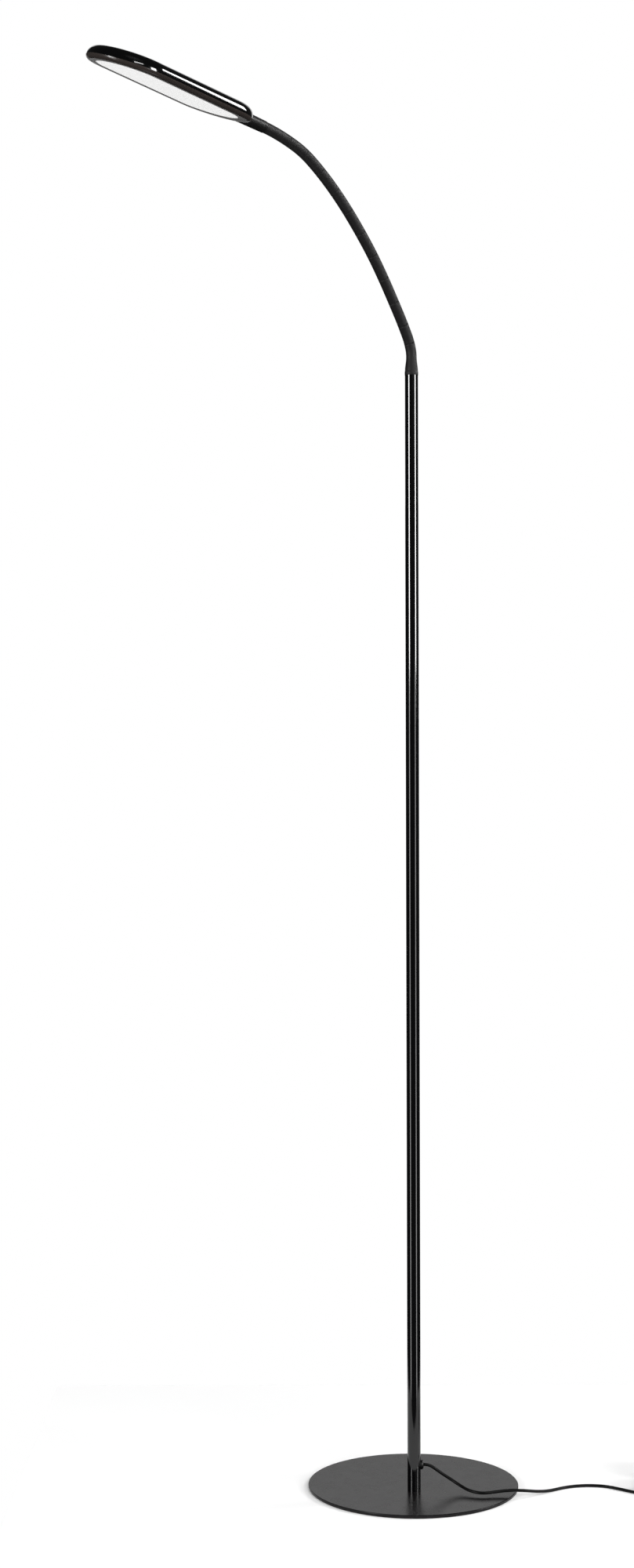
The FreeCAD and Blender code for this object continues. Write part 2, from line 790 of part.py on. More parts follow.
def arc_middle(start, direction, end):
    """Middle of the arc that leaves the start along a direction and reaches the end."""
    chord = end - start
    along_chord = direction.dot(chord) / chord.Length
    sideways = direction - chord * (along_chord / chord.Length)
    half_angle = math.atan2(sideways.Length, along_chord) / 2
    sideways.normalize()
    return (start + end) * 0.5 + sideways * (chord.Length / 2 * math.tan(half_angle))


def biarc(start, start_direction, end, end_direction):
    """Two arcs that meet smoothly and keep the directions at both ends."""
    chord = end - start
    total = start_direction + end_direction
    share = 2 * (1 - start_direction.dot(end_direction))
    drive = chord.dot(total)
    reach = (-drive + math.sqrt(drive ** 2 + share * chord.dot(chord))) / share
    meet = (start + end + (start_direction - end_direction) * reach) * 0.5
    first = Part.Arc(start, arc_middle(start, start_direction, meet), meet)
    second = Part.Arc(meet, arc_middle(end, end_direction * -1, meet), end)
    return [first.toShape(), second.toShape()]


def coil_wire():
    """Straight for one diameter, the turns, and straight again for one diameter."""
    steps = coil_steps_per_layer * coil_layers
    marks = [coil_turns * step / steps for step in range(steps + 1)]
    start = coil_point(0)
    end = coil_point(coil_turns)
    edges = [Part.LineSegment(along(start, coil_direction(0), -cord_diameter), start).toShape()]
    for first, second in zip(marks, marks[1:]):
        edges += biarc(coil_point(first), coil_direction(first), coil_point(second), coil_direction(second))
    edges.append(Part.LineSegment(end, along(end, coil_direction(coil_turns), cord_diameter)).toShape())
    return Part.Wire(edges)


def make_cord_coil():
    wire = coil_wire()
    start = along(coil_point(0), coil_direction(0), -cord_diameter)
    coil = round_tube(wire, cord_radius, start, coil_direction(0))
    expected = wire.Length * math.pi * cord_radius ** 2
    print("coil: length %.1f, volume share %.4f, least gap %.2f"
          % (wire.Length, coil.Volume / expected, coil_least_gap(wire)))
    return coil


def coil_least_gap(wire):
    """Least distance between the cord's skins on different turns, measured on points."""
    spacing = 1.0
    points = wire.discretize(Distance=spacing)
    half_turn = int(math.pi * (coil_mean_radius - coil_pitch * turns_per_layer / 2) / spacing)
    least = coil_mean_radius
    for index, point in enumerate(points):
        for other in points[index + half_turn:]:
            least = min(least, point.distanceToPoint(other))
    return least - cord_diameter


class AdapterFrame:
    """Where the coil's end leads into the adapter, and which way it points."""

    def __init__(self):
        self.direction = coil_direction(coil_turns)
        self.relief_start = along(coil_point(coil_turns), self.direction, cord_diameter)
        self.body_start = along(self.relief_start, self.direction, relief_length)
        self.half_height = self.body_start.z

    def block(self, start, length, inset):
        """Upright box along the adapter, drawn in from its skin on the four long sides."""
        width = adapter_width - 2 * inset
        half_height = self.half_height - inset
        box = Part.makeBox(width, length, 2 * half_height,
                           Vector(self.body_start.x - width / 2, self.body_start.y + start,
                                  self.half_height - half_height))
        corner = max(adapter_corner - inset, 0.5)
        edges = [edge for edge in box.Edges if abs(edge.tangentAt(edge.FirstParameter).y) > 0.9]
        return box.makeFillet(corner, edges)


def make_adapter_relief(adapter):
    return Part.makeCone(relief_start_diameter / 2, relief_end_diameter / 2, relief_length,
                         adapter.relief_start, adapter.direction)


def make_adapter_cover(adapter):
    length = adapter_length * adapter_seam
    outer = adapter.block(0, length, 0)
    inner = adapter.block(adapter_wall, length - adapter_wall, adapter_wall)
    return outer.cut(inner)


def make_adapter_base(adapter):
    start = adapter_length * adapter_seam
    length = adapter_length - start
    outer = adapter.block(start, length, 0)
    inner = adapter.block(start, length - adapter_wall - blade_root, adapter_wall)
    body = outer.cut(inner)
    for slot in blade_boxes(adapter, part_clearance / 2):
        body = body.cut(slot)
    return body


def blade_boxes(adapter, clearance):
    """Two flat blades, upright in the end of the adapter."""
    root = adapter.body_start.y + adapter_length - blade_root
    boxes = []
    for side in (-1, 1):
        centre_x = adapter.body_start.x + side * blade_spacing / 2
        boxes.append(Part.makeBox(
            blade_thickness + 2 * clearance, blade_length + blade_root, blade_width + 2 * clearance,
            Vector(centre_x - blade_thickness / 2 - clearance, root,
                   adapter.half_height - blade_width / 2 - clearance)))
    return boxes


def make_adapter_blades(adapter):
    return group(blade_boxes(adapter, 0))


def make_adapter_board(adapter):
    """Circuit board on the floor of the housing, with its transformer and capacitor."""
    margin = adapter_wall + part_clearance
    length = adapter_length - 2 * adapter_wall - blade_root - adapter_board_room
    width = adapter_width - 2 * margin - adapter_corner
    middle = adapter.body_start.x
    start = adapter.body_start.y + margin
    top = margin + adapter_board_thickness
    board = Part.makeBox(width, length, adapter_board_thickness, Vector(middle - width / 2, start, margin))
    transformer = Part.makeBox(transformer_width, transformer_length, transformer_height,
                               Vector(middle - transformer_width / 2, start + transformer_start, top))
    capacitor = cylinder(capacitor_diameter / 2, capacitor_height,
                         Vector(middle, start + capacitor_place, top))
    return board.fuse([transformer, capacitor]).removeSplitter()


# ================= the whole lamp =================

def neck_pieces(places):
    pieces = {
        "sleeve_00": make_first_sleeve(places),
        "core_00": make_first_core(places),
    }
    last = len(link_lengths)
    for index in range(1, last):
        start = places[index]
        end = places[index + 1]
        length = link_lengths[index - 1]
        pieces["sleeve_%02d" % index] = neck_link(sleeve_diameter / 2, sleeve_bore / 2, start, end, length)
        pieces["core_%02d" % index] = neck_link(core_diameter / 2, core_bore / 2, start, end, length)
    core_tail = boot_length + head_length / 2 + core_end
    pieces["sleeve_%02d" % last] = make_last_piece(
        places, sleeve_diameter / 2, sleeve_bore / 2, sleeve_in_boot)
    pieces["core_%02d" % last] = make_last_piece(
        places, core_diameter / 2, core_bore / 2, core_tail)
    return pieces


def head_pieces(placement):
    pieces = {
        "head_shell": make_head_shell(),
        "head_bezel": make_head_bezel(),
        "diffuser": make_diffuser(),
        "reflector": make_reflector(),
        "light_board": make_light_board(),
        "leds": make_leds(),
        "head_screws": make_head_screws(),
        "touch_board": make_touch_board(),
        "neck_boot": make_neck_boot(),
        "neck_socket": make_neck_socket(),
        "head_lead": make_head_lead(),
    }
    return {name: placed(shape, placement) for name, shape in pieces.items()}


def stand_pieces():
    pieces = {
        "base_plate": make_base_plate(),
        "base_pad": make_base_pad(),
        "foot_screw": make_foot_screw(),
        "pole_foot": make_pole_foot(),
        "cable_grommet": make_cable_grommet(),
        "pole_lead": make_pole_lead(),
        "neck_plug": make_neck_plug(),
    }
    for index, name in enumerate(pole_names):
        pieces[name] = make_pole_section(index)
    for index in range(1, pole_sections):
        pieces["coupler_%d_stud" % index] = make_coupler_stud(index)
        pieces["coupler_%d_nut" % index] = make_coupler_nut(index)
    return pieces


def cord_pieces():
    adapter = AdapterFrame()
    return {
        "cord_run": make_cord_run(),
        "cord_coil": make_cord_coil(),
        "adapter_relief": make_adapter_relief(adapter),
        "adapter_cover": make_adapter_cover(adapter),
        "adapter_base": make_adapter_base(adapter),
        "adapter_blades": make_adapter_blades(adapter),
        "adapter_board": make_adapter_board(adapter),
    }


def all_pieces():
    places = neck_places()
    pieces = stand_pieces()
    pieces.update(neck_pieces(places))
    pieces.update(head_pieces(head_placement(places)))
    pieces.update(cord_pieces())
    return pieces


def main():
    os.makedirs("parts", exist_ok=True)
    for name, shape in all_pieces().items():
        shape.exportStep("parts/" + name + ".step")


if __name__ == "__main__":
    main()
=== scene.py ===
# Looks of a gooseneck reading floor lamp, in metres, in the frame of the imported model:
# origin at the centre of the base on the floor, +Z up, -Y towards the camera.
import json
import math

import bmesh
import bpy
from mathutils import Matrix, Vector


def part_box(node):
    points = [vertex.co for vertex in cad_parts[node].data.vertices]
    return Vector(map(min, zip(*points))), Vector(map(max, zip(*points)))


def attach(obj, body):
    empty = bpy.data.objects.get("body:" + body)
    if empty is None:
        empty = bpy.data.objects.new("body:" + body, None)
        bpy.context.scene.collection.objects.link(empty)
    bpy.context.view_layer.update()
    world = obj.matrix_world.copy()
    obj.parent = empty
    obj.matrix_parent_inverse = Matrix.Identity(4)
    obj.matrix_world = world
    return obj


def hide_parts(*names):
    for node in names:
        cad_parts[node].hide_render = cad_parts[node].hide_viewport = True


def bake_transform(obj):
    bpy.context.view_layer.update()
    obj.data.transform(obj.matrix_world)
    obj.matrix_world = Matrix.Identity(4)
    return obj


# ---- camera: where the photograph was taken from ----
PHOTO_HEIGHT = 2000                      # pixels
CAMERA_PLACE = (-0.11442, -3.1, 0.92117)
CAMERA_ROLL = -0.139                     # degrees
FOCAL_PIXELS = 3264.2
HORIZON_PIXEL = 926.87                   # height of the horizon in the photograph
SENSOR = 36.0                            # mm, on the photograph's long side

# ---- gooseneck ----
SLEEVE_RADIUS = 0.00635
SLEEVE_BORE_RADIUS = 0.0049
FLARE_RADIUS = 0.0078
FLARE_LENGTH = 0.020
FLARE_RIM = 0.003
LIP_RADIUS = 0.0081                      # matt rim of the sleeve, drawn over the pole's end
LIP_BORE_RADIUS = 0.00797
LIP_LENGTH = 0.002
LIP_EDGE_IN = 0.00012                    # bevel at the lip's lower edge, inwards
LIP_EDGE_UP = 0.00018
LIP_SHOULDER = 0.0006                    # from the lip's upper edge to the start of the taper
FLARE_STEPS = 24
LAST_LINK_LENGTH = 0.027
NECK_END_ELEVATION = 5.9                 # degrees
SLEEVE_IN_BOOT = 0.036
RING_SIDES = 48
RING_SPACING = 0.0015

# ---- cord and the coil of what is left of it ----
CORD_DIAMETER = 0.0037
CORD_ROUTE = [
    (0.01125, -0.0280, 0.0353),
    (0.0155, -0.0280, 0.0353),
    (0.0215, -0.0279, 0.0330),
    (0.0310, -0.0272, 0.0258),
    (0.0430, -0.0276, 0.0180),
    (0.0540, -0.0345, 0.0124),
    (0.0650, -0.0480, 0.0094),
    (0.0800, -0.0555, 0.0084),
    (0.0970, -0.0505, 0.0090),
    (0.1130, -0.0485, 0.0102),
    (0.1310, -0.0500, 0.0102),
    (0.1470, -0.0380, 0.0054),
    (0.1630, -0.0240, 0.0019),
    (0.1840, -0.0085, 0.0019),
    (0.2080, -0.0015, 0.0019),
    (0.2320, -0.0050, 0.0019),
    (0.2500, -0.0185, 0.0019),
    (0.2670, -0.0330, 0.0019),
    (0.2830, -0.0414, 0.0019),
    (0.2983, -0.0414, 0.0019),
]
COIL_TURNS = 11.25
COIL_LAYERS = 4
COIL_PITCH = 0.0042
COIL_MEAN_RADIUS = 0.0205
COIL_CLIMB = 0.5                         # turns over which the cord climbs to the next layer
COIL_POINTS_PER_TURN = 16

# ---- the set round the lamp ----
FLOOR_REACH = 0.48                       # to both sides and behind
FLOOR_FRONT = 0.33
FLOOR_GREY = 0.80
FLOOR_GLOW = 0.18
TENT_RADIUS = 9.0
TENT_OPENING = 25                        # degrees to each side of straight behind
TENT_SILL = 12.5                         # degrees above the horizon
TENT_LINTEL = 45
TENT_GLOW = 0.03
TENT_COLUMNS = 72
TENT_ROWS = 72
WORLD_LIGHT = 0.28
BOX_DISTANCE = 5.0
SOFT_BOXES = [                           # name, turn in degrees, height, width, tall, radiance
    ("left_high", -48, 1.65, 1.2, 1.1, 36),
    ("left_low", -52, -0.05, 1.2, 2.3, 6),
    ("right_high", 64, 1.65, 1.4, 1.1, 32),
    ("right_low", 50, -0.05, 1.2, 2.3, 6),
    ("side_line", 107, 3.4, 1.2, 1.7, 24),
    ("front_line", 25, 2.6, 2.0, 0.5, 20),
]
OVERHEAD_DIRECTION = (-0.33, 0.62, -0.71)
OVERHEAD_LEVEL = 0.9
OVERHEAD_SPREAD = 28                     # degrees

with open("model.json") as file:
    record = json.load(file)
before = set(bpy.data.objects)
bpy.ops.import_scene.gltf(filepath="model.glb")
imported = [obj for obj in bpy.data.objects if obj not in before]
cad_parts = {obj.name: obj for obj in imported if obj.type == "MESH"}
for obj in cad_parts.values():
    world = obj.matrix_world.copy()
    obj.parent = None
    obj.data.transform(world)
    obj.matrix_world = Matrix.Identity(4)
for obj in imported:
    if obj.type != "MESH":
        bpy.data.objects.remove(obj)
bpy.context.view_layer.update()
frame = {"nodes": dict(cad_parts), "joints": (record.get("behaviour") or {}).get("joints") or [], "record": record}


# ================= materials =================

class Finish:
    """A material under construction: its tree, its shader and the texture coordinates."""

    def __init__(self, name, colour, roughness):
        self.material = bpy.data.materials.new(name)
        self.material.use_nodes = True
        self.tree = self.material.node_tree
        self.shader = self.tree.nodes["Principled BSDF"]
        self.place = self.tree.nodes.new("ShaderNodeTexCoord").outputs["Object"]
        self.shader.inputs["Base Color"].default_value = (*colour, 1)
        self.shader.inputs["Roughness"].default_value = roughness
        self.height = None

    def set(self, **values):
        for key, value in values.items():
            self.shader.inputs[key.replace("_", " ")].default_value = value
        return self

    def noise(self, per_metre, detail=3.0, stretch=(1, 1, 1)):
        """Noise with that many cells to the metre, stretched along the axes."""
        mapping = self.tree.nodes.new("ShaderNodeMapping")
        mapping.inputs["Scale"].default_value = [per_metre * s for s in stretch]
        texture = self.tree.nodes.new("ShaderNodeTexNoise")
        texture.inputs["Scale"].default_value = 1.0
        texture.inputs["Detail"].default_value = detail
        self.tree.links.new(self.place, mapping.inputs["Vector"])
        self.tree.links.new(mapping.outputs["Vector"], texture.inputs["Vector"])
        return texture.outputs["Fac"]

    def between(self, factor, low, high):
        """Spreads a texture from one value to another."""
        spread = self.tree.nodes.new("ShaderNodeMapRange")
        spread.inputs["From Min"].default_value = 0.3
        spread.inputs["From Max"].default_value = 0.7
        spread.inputs["To Min"].default_value = low
        spread.inputs["To Max"].default_value = high
        self.tree.links.new(factor, spread.inputs["Value"])
        return spread.outputs["Result"]

    def vary_roughness(self, low, high, per_metre, **noise):
        result = self.between(self.noise(per_metre, **noise), low, high)
        self.tree.links.new(result, self.shader.inputs["Roughness"])
        return self

    def vary_colour(self, low, high, per_metre, **noise):
        ramp = self.tree.nodes.new("ShaderNodeValToRGB")
        ramp.color_ramp.elements[0].position = 0.3
        ramp.color_ramp.elements[1].position = 0.7
        ramp.color_ramp.elements[0].color = (*low, 1)
        ramp.color_ramp.elements[1].color = (*high, 1)
        self.tree.links.new(self.noise(per_metre, **noise), ramp.inputs["Fac"])
        self.tree.links.new(ramp.outputs["Color"], self.shader.inputs["Base Color"])
        return self

    def bump(self, depth, per_metre, strength=1.0, **noise):
        """Adds relief of a depth in metres on top of what is there."""
        node = self.tree.nodes.new("ShaderNodeBump")
        node.inputs["Strength"].default_value = strength
        node.inputs["Distance"].default_value = depth
        self.tree.links.new(self.noise(per_metre, **noise), node.inputs["Height"])
        if self.height:
            self.tree.links.new(self.height, node.inputs["Normal"])
        self.height = node.outputs["Normal"]
        self.tree.links.new(self.height, self.shader.inputs["Normal"])
        return self


def make_base_paint():
    """Dark satin powder coat: fine grain and a blurred sheen."""
    finish = Finish("base_paint", (0.0045, 0.0040, 0.0043), 0.30)
    finish.vary_roughness(0.25, 0.28, 90)
    finish.bump(0.00002, 2600, strength=0.05)
    return finish.set(Specular_IOR_Level=0.16).material


def make_base_foam():
    finish = Finish("base_foam", (0.016, 0.016, 0.016), 0.95)
    return finish.bump(0.0002, 900, strength=0.8).material


def make_pole_gloss():
    """Gloss black paint on drawn tube."""
    finish = Finish("pole_gloss", (0.0015, 0.0015, 0.0017), 0.07)
    return finish.vary_roughness(0.06, 0.09, 60, stretch=(1, 1, 0.25)).material


def make_fitting_steel():
    finish = Finish("fitting_steel", (0.56, 0.56, 0.57), 0.28).set(Metallic=1.0)
    finish.vary_roughness(0.22, 0.34, 400)
    return finish.bump(0.00002, 3000, strength=0.2, stretch=(1, 1, 6)).material


def make_core_steel():
    finish = Finish("core_steel", (0.36, 0.36, 0.37), 0.38).set(Metallic=1.0)
    return finish.vary_roughness(0.32, 0.45, 500).material


def make_sleeve_rubber():
    """Matt silicone sleeve with a soft dusty sheen."""
    finish = Finish("sleeve_rubber", (0.007, 0.0066, 0.007), 0.55)
    finish.vary_colour((0.0062, 0.0058, 0.0062), (0.0080, 0.0074, 0.0078), 180)
    finish.vary_roughness(0.50, 0.60, 240)
    finish.bump(0.00002, 3200, strength=0.08)
    return finish.set(Specular_IOR_Level=0.2, Sheen_Weight=0.02, Sheen_Roughness=0.5).material


def make_boot_rubber():
    finish = Finish("boot_rubber", (0.004, 0.004, 0.0042), 0.45)
    finish.vary_roughness(0.42, 0.50, 260)
    return finish.bump(0.00002, 2400, strength=0.08).set(Specular_IOR_Level=0.2).material


def make_grommet_rubber():
    finish = Finish("grommet_rubber", (0.002, 0.002, 0.002), 0.3)
    finish.vary_roughness(0.26, 0.34, 400)
    return finish.set(Specular_IOR_Level=0.3).material


def make_shell_gloss():
    """Piano-black moulding."""
    finish = Finish("shell_gloss", (0.0015, 0.0015, 0.0016), 0.08)
    return finish.vary_roughness(0.07, 0.10, 45).material


def make_bezel_plastic():
    finish = Finish("bezel_plastic", (0.026, 0.021, 0.019), 0.22)
    return finish.vary_roughness(0.20, 0.26, 120).set(Specular_IOR_Level=0.3).material


def make_diffuser_white():
    """Opal sheet, faintly lit from behind."""
    finish = Finish("diffuser_white", (0.93, 0.93, 0.92), 0.5)
    finish.vary_roughness(0.45, 0.55, 300)
    finish.bump(0.00001, 4000, strength=0.1)
    return finish.set(Emission_Color=(1, 1, 1, 1), Emission_Strength=0.45).material


def make_reflector_white():
    finish = Finish("reflector_white", (0.86, 0.86, 0.85), 0.6)
    return finish.vary_roughness(0.5, 0.7, 200).material


def make_board_white():
    finish = Finish("board_white", (0.78, 0.78, 0.76), 0.35)
    return finish.vary_roughness(0.3, 0.4, 300).material


def make_led_yellow():
    finish = Finish("led_yellow", (0.86, 0.72, 0.22), 0.3)
    return finish.vary_roughness(0.25, 0.4, 800).material


def make_board_green():
    finish = Finish("board_green", (0.04, 0.20, 0.08), 0.35)
    return finish.vary_colour((0.03, 0.16, 0.06), (0.05, 0.23, 0.10), 700).material


def make_cord_pvc():
    finish = Finish("cord_pvc", (0.002, 0.002, 0.002), 0.4)
    finish.vary_roughness(0.36, 0.46, 300)
    return finish.bump(0.00002, 1500, strength=0.1).set(Specular_IOR_Level=0.12).material


def make_adapter_plastic():
    """Black housing with a fine spark-eroded grain."""
    finish = Finish("adapter_plastic", (0.010, 0.010, 0.0105), 0.5)
    finish.vary_roughness(0.45, 0.58, 300)
    return finish.bump(0.00005, 2500, strength=0.5).material


def make_blade_nickel():
    finish = Finish("blade_nickel", (0.70, 0.68, 0.64), 0.25).set(Metallic=1.0)
    return finish.vary_roughness(0.2, 0.32, 500).material


MAKERS = {
    "base_paint": make_base_paint,
    "base_foam": make_base_foam,
    "pole_gloss": make_pole_gloss,
    "fitting_steel": make_fitting_steel,
    "core_steel": make_core_steel,
    "sleeve_rubber": make_sleeve_rubber,
    "boot_rubber": make_boot_rubber,
    "grommet_rubber": make_grommet_rubber,
    "shell_gloss": make_shell_gloss,
    "bezel_plastic": make_bezel_plastic,
    "diffuser_white": make_diffuser_white,
    "reflector_white": make_reflector_white,
    "board_white": make_board_white,
    "led_yellow": make_led_yellow,
    "board_green": make_board_green,
    "cord_pvc": make_cord_pvc,
    "adapter_plastic": make_adapter_plastic,
    "blade_nickel": make_blade_nickel,
}


def paint_nodes(materials):
    """Gives every CAD node the finish of its slot in the record."""
    for part in frame["record"]["subparts"]:
        node = frame["nodes"][part["node"]]
        node.data.materials.clear()
        node.data.materials.append(materials[part["material_slot"]])


# ================= shared mesh code =================

def mesh_object(name, mesh_data, material, smooth=True):
    mesh = bpy.data.meshes.new(name)
    mesh_data.normal_update()
    mesh_data.to_mesh(mesh)
    mesh_data.free()
    for face in mesh.polygons:
        face.use_smooth = smooth
    mesh.materials.append(material)
    piece = bpy.data.objects.new(name, mesh)
    bpy.context.scene.collection.objects.link(piece)
    return piece


def ring_points(centre, tangent, side, radius, sides):
    """Round ring square to the tangent, starting at the side direction."""
    other = tangent.cross(side).normalized()
    return [centre + (side * math.cos(a) + other * math.sin(a)) * radius
            for a in (2 * math.pi * i / sides for i in range(sides))]


def skin(rings, closed_loop=False):
    """Mesh over rings of equal counts; a closed loop joins the last ring to the first."""
    mesh = bmesh.new()
    rows = [[mesh.verts.new(point) for point in ring] for ring in rings]
    pairs = list(zip(rows, rows[1:]))
    if closed_loop:
        pairs.append((rows[-1], rows[0]))
    for first, second in pairs:
        count = len(first)
        for i in range(count):
            j = (i + 1) % count
            mesh.faces.new((first[i], first[j], second[j], second[i]))
    return mesh


# ================= gooseneck sleeve =================

class NeckLine:
    """The gooseneck's centre line: arcs from bending point to bending point."""

    def __init__(self):
        hinges = frame["joints"]
        self.bodies = ["stand"] + [joint["child"] for joint in hinges]
        points = [Vector(joint["pos_m"]) for joint in hinges]
        low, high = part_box("pole_upper")
        self.pole_top = Vector(((low.x + high.x) / 2, (low.y + high.y) / 2, high.z))
        flare_end = self.pole_top + Vector((0, 0, FLARE_LENGTH))
        self.side = Vector(hinges[0]["axis"])
        self.points = [flare_end] + points
        self.tangents = [Vector((0, 0, 1))]
        for before, after in zip(self.points, self.points[1:]):
            chord = (after - before).normalized()
            tangent = self.tangents[-1]
            self.tangents.append((2 * tangent.dot(chord) * chord - tangent).normalized())
        self.add_end()

    def add_end(self):
        """The place where the boot begins."""
        forward = self.side.cross(Vector((0, 0, 1)))
        tangent = self.tangents[-1]
        start = math.atan2(tangent.z, tangent.dot(forward))
        end = math.radians(NECK_END_ELEVATION)
        half_turn = (start - end) / 2
        middle = (start + end) / 2
        chord = LAST_LINK_LENGTH * math.sin(half_turn) / half_turn
        move = forward * math.cos(middle) + Vector((0, 0, math.sin(middle)))
        self.points.append(self.points[-1] + move * chord)
        self.tangents.append(forward * math.cos(end) + Vector((0, 0, math.sin(end))))

    def place(self, index, share):
        """Point and tangent at a share of the arc that starts at a place."""
        start = self.points[index]
        end = self.points[index + 1]
        turn = self.tangents[index].angle(self.tangents[index + 1])
        chord = (end - start).length
        radius = chord / 2 / math.sin(turn / 2)
        tangent = self.tangents[index]
        inward = (self.tangents[index + 1] - tangent * math.cos(turn)).normalized()
        angle = turn * share
        point = start + tangent * radius * math.sin(angle) + inward * radius * (1 - math.cos(angle))
        return point, (tangent * math.cos(angle) + inward * math.sin(angle)).normalized()

    def stretch(self, index, start_share, end_share):
        """Places along part of an arc, evenly spaced, the last one left out."""
        length = (self.points[index + 1] - self.points[index]).length * (end_share - start_share)
        count = max(2, round(length / RING_SPACING))
        return [self.place(index, start_share + (end_share - start_share) * i / count)
                for i in range(count)]


def flare_rings(line):
    """Outline of the sleeve's foot: a lip over the pole's end, then a soft taper to the sleeve."""
    taper = FLARE_LENGTH - FLARE_RIM
    places = [(-LIP_LENGTH, LIP_RADIUS - LIP_EDGE_IN),
              (-LIP_LENGTH + LIP_EDGE_UP, LIP_RADIUS),
              (FLARE_RIM - LIP_SHOULDER, LIP_RADIUS)]
    for i in range(FLARE_STEPS + 1):
        share = i / FLARE_STEPS
        ease = 0.5 - 0.5 * math.cos(math.pi * share)
        places.append((FLARE_RIM + taper * share, FLARE_RADIUS + (SLEEVE_RADIUS - FLARE_RADIUS) * ease))
    return [(line.pole_top + Vector((0, 0, up)), Vector((0, 0, 1)), radius) for up, radius in places]


def sleeve_mesh(line, places):
    """Closed tube over (point, tangent, radius) places; its bore widens inside the lip, round the pole."""
    outer = [ring_points(p, t, line.side, r, RING_SIDES) for p, t, r in places]
    bore = [(p, t, SLEEVE_BORE_RADIUS) for p, t, r in reversed(places) if p.z >= line.pole_top.z]
    lip = [p for p, t, r in places if p.z < line.pole_top.z]
    if lip:
        up = line.tangents[0]
        bore += [(line.pole_top, up, SLEEVE_BORE_RADIUS), (line.pole_top, up, LIP_BORE_RADIUS),
                 (lip[0], up, LIP_BORE_RADIUS)]
    inner = [ring_points(p, t, line.side, r, RING_SIDES) for p, t, r in bore]
    return skin(outer + inner, closed_loop=True)


def make_sleeve(line, material):
    """One length of sleeve over each joint, from the middle of one link to the middle of the next."""
    last = len(line.points) - 2
    for index in range(1, last + 1):
        first = index == 1
        places = []
        if first:
            places += flare_rings(line)[:-1]
            places += [(p, t, SLEEVE_RADIUS) for p, t in line.stretch(0, 0, 1)]
            start = line.points[0]
        else:
            places += [(p, t, SLEEVE_RADIUS) for p, t in line.stretch(index - 1, 0.5, 1)]
            start = line.place(index - 1, 0.5)[0]
        places += [(p, t, SLEEVE_RADIUS) for p, t in line.stretch(index, 0, 0.5)]
        middle, tangent = line.place(index, 0.5)
        places.append((middle, tangent, SLEEVE_RADIUS))
        if index == last:
            places += [(p, t, SLEEVE_RADIUS) for p, t in line.stretch(index, 0.5, 1)[1:]]
            end, tangent = line.points[-1], line.tangents[-1]
            places.append((end, tangent, SLEEVE_RADIUS))
            places.append((end + tangent * SLEEVE_IN_BOOT, tangent, SLEEVE_RADIUS))
        piece = mesh_object("sleeve_skin_%02d" % index, sleeve_mesh(line, places), material)
        nodes = ["sleeve_%02d" % (index - 1)]
        if index == last:
            nodes.append("sleeve_%02d" % index)
        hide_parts(*nodes)
        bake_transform(piece)


# ================= cord =================

def coil_points():
    """The coil's turns: out and in at a steady rate, layer by layer."""
    turns_per_layer = COIL_TURNS / COIL_LAYERS
    outer = COIL_MEAN_RADIUS + COIL_PITCH * turns_per_layer / 2
    centre = Vector(CORD_ROUTE[-1]) + Vector((CORD_DIAMETER, outer, 0))
    count = round(COIL_TURNS * COIL_POINTS_PER_TURN)
    points = []
    for i in range(count + 1):
        turns = COIL_TURNS * i / count
        layer = min(int(turns / turns_per_layer), COIL_LAYERS - 1)
        into_layer = turns - layer * turns_per_layer
        inward = into_layer if layer % 2 == 0 else turns_per_layer - into_layer
        radius = outer - COIL_PITCH * inward
        height = 0.0
        for reversal in range(1, COIL_LAYERS):
            share = (turns - reversal * turns_per_layer) / COIL_CLIMB + 0.5
            height += COIL_PITCH * (1 - math.cos(math.pi * min(max(share, 0.0), 1.0))) / 2
        angle = 2 * math.pi * turns - math.pi / 2
        points.append(centre + Vector((radius * math.cos(angle), radius * math.sin(angle), height)))
    straight_on = Vector((0, CORD_DIAMETER, 0))
    return points + [points[-1] + straight_on]


def make_cord(material):
    """The free cord: over the base, along the floor and into its coil and adapter."""
    curve = bpy.data.curves.new("power_cord", "CURVE")
    curve.dimensions = "3D"
    curve.bevel_depth = CORD_DIAMETER / 2
    curve.bevel_resolution = 6
    curve.resolution_u = 10
    curve.use_fill_caps = True
    points = [Vector(point) for point in CORD_ROUTE] + coil_points()
    spline = curve.splines.new("NURBS")
    spline.points.add(len(points) - 1)
    for place, point in zip(spline.points, points):
        place.co = (*point, 1)
    spline.order_u = 3
    spline.use_endpoint_u = True
    curve.materials.append(material)
    cord = bpy.data.objects.new("power_cord", curve)
    bpy.context.scene.collection.objects.link(cord)
    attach(cord, "stand")
    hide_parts("cord_run", "cord_coil")


# ================= camera, floor and light =================

def make_camera():
    camera = bpy.data.cameras.new("camera")
    camera.sensor_width = SENSOR
    camera.lens = FOCAL_PIXELS / PHOTO_HEIGHT * SENSOR
    camera.shift_y = (HORIZON_PIXEL - PHOTO_HEIGHT / 2) / PHOTO_HEIGHT
    camera.clip_start = 0.05
    camera.clip_end = 50
    place = bpy.data.objects.new("camera", camera)
    level = Matrix.Rotation(math.radians(90), 4, "X")
    roll = Matrix.Rotation(math.radians(CAMERA_ROLL), 4, "Z")
    place.matrix_world = Matrix.Translation(CAMERA_PLACE) @ level @ roll
    bpy.context.scene.collection.objects.link(place)
    bpy.context.scene.camera = place


def background_rays(tree):
    """1 for the rays that should find a white background, 0 for those that carry light."""
    path = tree.nodes.new("ShaderNodeLightPath")
    seen = path.outputs["Is Camera Ray"]
    for ray in ("Is Glossy Ray", "Is Transmission Ray"):
        add = tree.nodes.new("ShaderNodeMath")
        add.operation = "MAXIMUM"
        tree.links.new(seen, add.inputs[0])
        tree.links.new(path.outputs[ray], add.inputs[1])
        seen = add.outputs[0]
    return seen


